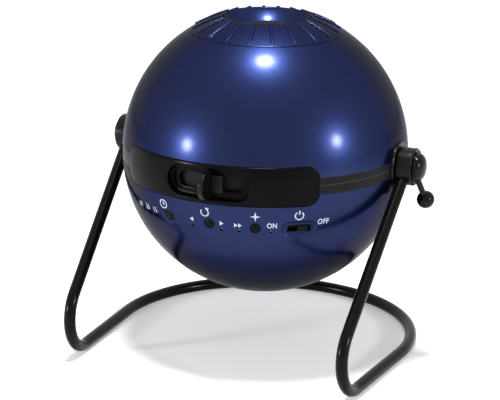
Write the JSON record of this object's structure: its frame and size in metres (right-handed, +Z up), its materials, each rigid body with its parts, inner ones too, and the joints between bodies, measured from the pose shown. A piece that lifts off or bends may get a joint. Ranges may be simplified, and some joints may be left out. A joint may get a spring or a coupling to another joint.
{
  "type": "planetarium projector",
  "caption": "Ball-shaped home planetarium projector on a bent-rod stand, with a lens in its top, a pull-out star-disc tray, a focus knob, buttons, a power slider and a tilt clamp.",
  "frame": {"origin": "floor point midway between the hubs, straight under the middle of the tilt axis", "axes": "+X along the tilt axis towards the clamp lever, -Y towards the controls, +Z up through the lens at rest"},
  "size_m": [0.1618, 0.1528, 0.1592],
  "materials": {
    "rod_black": "satin black powder coat",
    "hub_black": "satin moulded",
    "gloss_black": "glossy moulded",
    "dark_steel": "black oxide",
    "blue_paint": "metallic lacquer",
    "charcoal": "fine satin",
    "matt_black": "matt",
    "steel": "plain",
    "brass": "turned",
    "lens_glass": "polished",
    "board_white": "solder mask",
    "phosphor": "phosphor",
    "heat_sink": "extruded",
    "led_body": "clear resin",
    "led_red": "tinted resin",
    "board_green": "solder mask",
    "nylon": "moulded",
    "disc_film": "coated film disc"
  },
  "bodies": {
    "stand": {"stand_frame": "rod_black", "left_hub": "hub_black", "right_hub": "hub_black", "left_axle": "dark_steel"},
    "clamp": {"clamp_screw": "steel", "clamp_knob": "gloss_black", "clamp_lever": "gloss_black"},
    "ball": {"upper_shell": "blue_paint", "lower_shell": "blue_paint", "lens_ring": "blue_paint", "upper_chassis": "charcoal", "lower_chassis": "charcoal", "left_boss": "hub_black", "right_boss": "hub_black", "tray_rails": "charcoal", "tray_latch": "steel", "lens_barrel": "matt_black", "lens_bezel": "matt_black", "rear_lens": "lens_glass", "middle_lens": "lens_glass", "front_lens": "lens_glass", "condenser_housing": "matt_black", "condenser_lens_lower": "lens_glass", "condenser_lens_upper": "lens_glass", "led_board": "board_white", "led_emitter": "phosphor", "heat_sink": "heat_sink", "motor": "steel", "gearbox_bracket": "charcoal", "shaft_bushes": "brass", "meteor_tube": "matt_black", "meteor_lens": "lens_glass", "meteor_led": "led_body", "meteor_motor": "steel", "control_boards": "board_green", "tact_switches": "steel", "indicator_leds": "led_red", "power_switch": "charcoal", "dc_socket": "matt_black", "main_board": "board_green", "shell_screws": "steel", "chassis_screws": "steel"},
    "tray": {"front_panel": "gloss_black", "tray_frame": "charcoal", "tray_screws": "steel"},
    "focus": {"focus_ring": "matt_black", "focus_knob": "gloss_black"},
    "carrier": {"disc_carrier": "charcoal"},
    "disc": {"turntable": "nylon", "star_disc": "disc_film", "disc_clip": "charcoal"},
    "pinion_shaft": {"drive_pinion": "nylon", "reduction_gear": "nylon"},
    "rotor": {"motor_pinion": "brass"},
    "shutter": {"meteor_shutter": "matt_black"},
    "timer_cap": {"timer_button": "gloss_black"},
    "move_cap": {"move_button": "gloss_black"},
    "meteor_cap": {"meteor_button": "gloss_black"},
    "power_cap": {"power_slider": "charcoal"}
  },
  "joints": [
    {"name": "ball_tilt", "type": "hinge", "parent": "stand", "child": "ball", "pos_m": [0, 0, 0.0942], "axis": [1, 0, 0], "range_deg": [-60, 90]},
    {"name": "clamp_turn", "type": "hinge", "parent": "stand", "child": "clamp", "pos_m": [0, 0, 0.0942], "axis": [1, 0, 0], "range_deg": [0, 80]},
    {"name": "tray_slide", "type": "slide", "parent": "ball", "child": "tray", "axis": [0, -1, 0], "range_m": [0, 0.088]},
    {"name": "focus_turn", "type": "hinge", "parent": "tray", "child": "focus", "pos_m": [0, 0, 0.0942], "axis": [0, 0, 1], "range_deg": [-10, 10]},
    {"name": "disc_lift", "type": "slide", "parent": "tray", "child": "carrier", "axis": [0, 0, 1], "range_m": [-0.0012, 0.0012]},
    {"name": "disc_spin", "type": "hinge", "parent": "carrier", "child": "disc", "pos_m": [0, 0, 0.0942], "axis": [0, 0, 1], "continuous": true},
    {"name": "pinion_spin", "type": "hinge", "parent": "ball", "child": "pinion_shaft", "pos_m": [0, 0.0375, 0.0942], "axis": [0, 0, 1], "continuous": true},
    {"name": "motor_spin", "type": "hinge", "parent": "ball", "child": "rotor", "pos_m": [-0.01999, 0.03177, 0.0942], "axis": [0, 0, 1], "continuous": true},
    {"name": "shutter_spin", "type": "hinge", "parent": "ball", "child": "shutter", "pos_m": [0, -0.0202, 0.0942], "axis": [0, 0, 1], "continuous": true},
    {"name": "timer_press", "type": "slide", "parent": "ball", "child": "timer_cap", "axis": [0.3229, 0.9018, 0.2874], "range_m": [0, 0.0008], "stiffness_N_per_m": 400},
    {"name": "move_press", "type": "slide", "parent": "ball", "child": "move_cap", "axis": [0, 0.9578, 0.2874], "range_m": [0, 0.0008], "stiffness_N_per_m": 400},
    {"name": "meteor_press", "type": "slide", "parent": "ball", "child": "meteor_cap", "axis": [-0.3126, 0.9027, 0.2957], "range_m": [0, 0.0008], "stiffness_N_per_m": 400},
    {"name": "power_slide", "type": "slide", "parent": "ball", "child": "power_cap", "axis": [-0.8007, -0.599, 0], "range_m": [0, 0.0034]}
  ],
  "couplings": [
    {"joint": "disc_lift", "follows": "focus_turn", "m_per_rad": 0.006875},
    {"joint": "pinion_spin", "follows": "disc_spin", "ratio": -4},
    {"joint": "motor_spin", "follows": "disc_spin", "ratio": 13.333}
  ]
}
